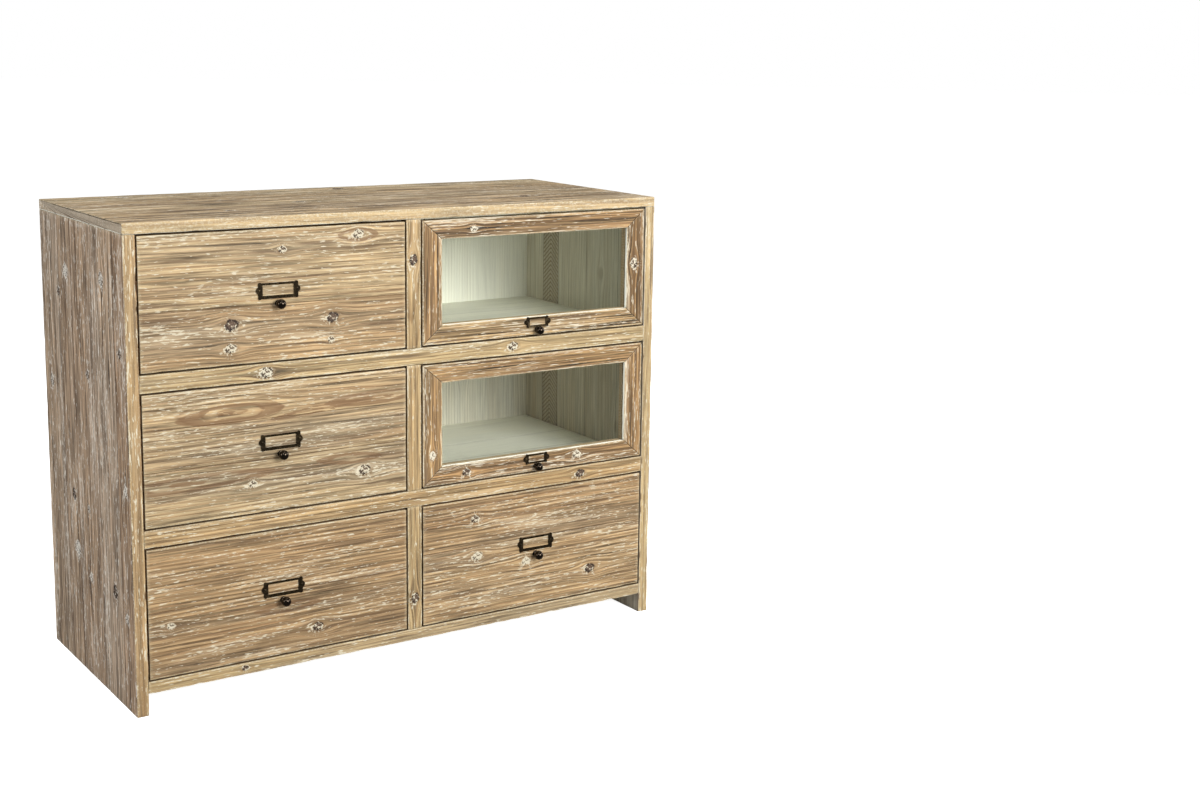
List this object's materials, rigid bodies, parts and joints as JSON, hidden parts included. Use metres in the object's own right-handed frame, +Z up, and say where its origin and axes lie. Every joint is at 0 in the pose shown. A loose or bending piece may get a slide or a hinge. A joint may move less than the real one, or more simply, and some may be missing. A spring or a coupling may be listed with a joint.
{
  "type": "apothecary chest",
  "caption": "Low pine chest with drawers and glazed lift-up flaps, each with a label holder and a small ball knob, on legs that are the ends of its side panels.",
  "frame": {"origin": "on the floor under the middle of the overall box, knobs included", "axes": "+X to the right along the front as seen by someone facing it, +Y from the front to the back, +Z up"},
  "size_m": [1.1, 0.4976, 0.875],
  "materials": {
    "pine_front": "bleached and brushed pine, matt wax",
    "pine_frame": "bleached and brushed pine, matt wax",
    "pine_side": "bleached and brushed pine, matt wax",
    "pine_top": "bleached and brushed pine, matt wax",
    "raw_pine": "plain planed pine",
    "painted_pine": "thin pale green-grey paint",
    "window_glass": "clear",
    "dark_bronze": "dark antique, semi-gloss",
    "pin_steel": "plain"
  },
  "bodies": {
    "case": {"side_left": "pine_side", "side_right": "pine_side", "top_board": "pine_top", "bottom_board": "pine_frame", "back_boards": "painted_pine", "rail_upper": "pine_frame", "rail_lower": "pine_frame", "centre_stiles": "pine_frame", "centre_partition": "painted_pine", "shelf_upper": "painted_pine", "shelf_lower": "painted_pine", "drawer_runners": "raw_pine", "floor_guides": "raw_pine", "flap_stops": "painted_pine"},
    "drawer_top_left": {"drawer_top_left_front": "pine_front", "drawer_top_left_side_left": "raw_pine", "drawer_top_left_side_right": "raw_pine", "drawer_top_left_back": "raw_pine", "drawer_top_left_bottom": "raw_pine", "drawer_top_left_label_holder": "dark_bronze", "drawer_top_left_knob": "dark_bronze"},
    "drawer_middle_left": {"drawer_middle_left_front": "pine_front", "drawer_middle_left_side_left": "raw_pine", "drawer_middle_left_side_right": "raw_pine", "drawer_middle_left_back": "raw_pine", "drawer_middle_left_bottom": "raw_pine", "drawer_middle_left_label_holder": "dark_bronze", "drawer_middle_left_knob": "dark_bronze"},
    "drawer_bottom_left": {"drawer_bottom_left_front": "pine_front", "drawer_bottom_left_side_left": "raw_pine", "drawer_bottom_left_side_right": "raw_pine", "drawer_bottom_left_back": "raw_pine", "drawer_bottom_left_bottom": "raw_pine", "drawer_bottom_left_label_holder": "dark_bronze", "drawer_bottom_left_knob": "dark_bronze"},
    "drawer_bottom_right": {"drawer_bottom_right_front": "pine_front", "drawer_bottom_right_side_left": "raw_pine", "drawer_bottom_right_side_right": "raw_pine", "drawer_bottom_right_back": "raw_pine", "drawer_bottom_right_bottom": "raw_pine", "drawer_bottom_right_label_holder": "dark_bronze", "drawer_bottom_right_knob": "dark_bronze"},
    "flap_upper": {"flap_upper_rail_top": "pine_front", "flap_upper_rail_bottom": "pine_front", "flap_upper_stile_left": "pine_front", "flap_upper_stile_right": "pine_front", "flap_upper_glass": "window_glass", "flap_upper_beads": "painted_pine", "flap_upper_pivots": "pin_steel", "flap_upper_label_holder": "dark_bronze", "flap_upper_knob": "dark_bronze"},
    "flap_lower": {"flap_lower_rail_top": "pine_front", "flap_lower_rail_bottom": "pine_front", "flap_lower_stile_left": "pine_front", "flap_lower_stile_right": "pine_front", "flap_lower_glass": "window_glass", "flap_lower_beads": "painted_pine", "flap_lower_pivots": "pin_steel", "flap_lower_label_holder": "dark_bronze", "flap_lower_knob": "dark_bronze"}
  },
  "joints": [
    {"name": "drawer_top_left_slide", "type": "slide", "parent": "case", "child": "drawer_top_left", "axis": [0, -1, 0], "range_m": [0, 0.34]},
    {"name": "drawer_middle_left_slide", "type": "slide", "parent": "case", "child": "drawer_middle_left", "axis": [0, -1, 0], "range_m": [0, 0.34]},
    {"name": "drawer_bottom_left_slide", "type": "slide", "parent": "case", "child": "drawer_bottom_left", "axis": [0, -1, 0], "range_m": [0, 0.34]},
    {"name": "drawer_bottom_right_slide", "type": "slide", "parent": "case", "child": "drawer_bottom_right", "axis": [0, -1, 0], "range_m": [0, 0.34]},
    {"name": "flap_upper_hinge", "type": "hinge", "parent": "case", "child": "flap_upper", "pos_m": [0.2715, -0.21525, 0.817], "axis": [-1, 0, 0], "range_deg": [0, 140]},
    {"name": "flap_lower_hinge", "type": "hinge", "parent": "case", "child": "flap_lower", "pos_m": [0.2715, -0.21525, 0.542], "axis": [-1, 0, 0], "range_deg": [0, 140]}
  ]
}
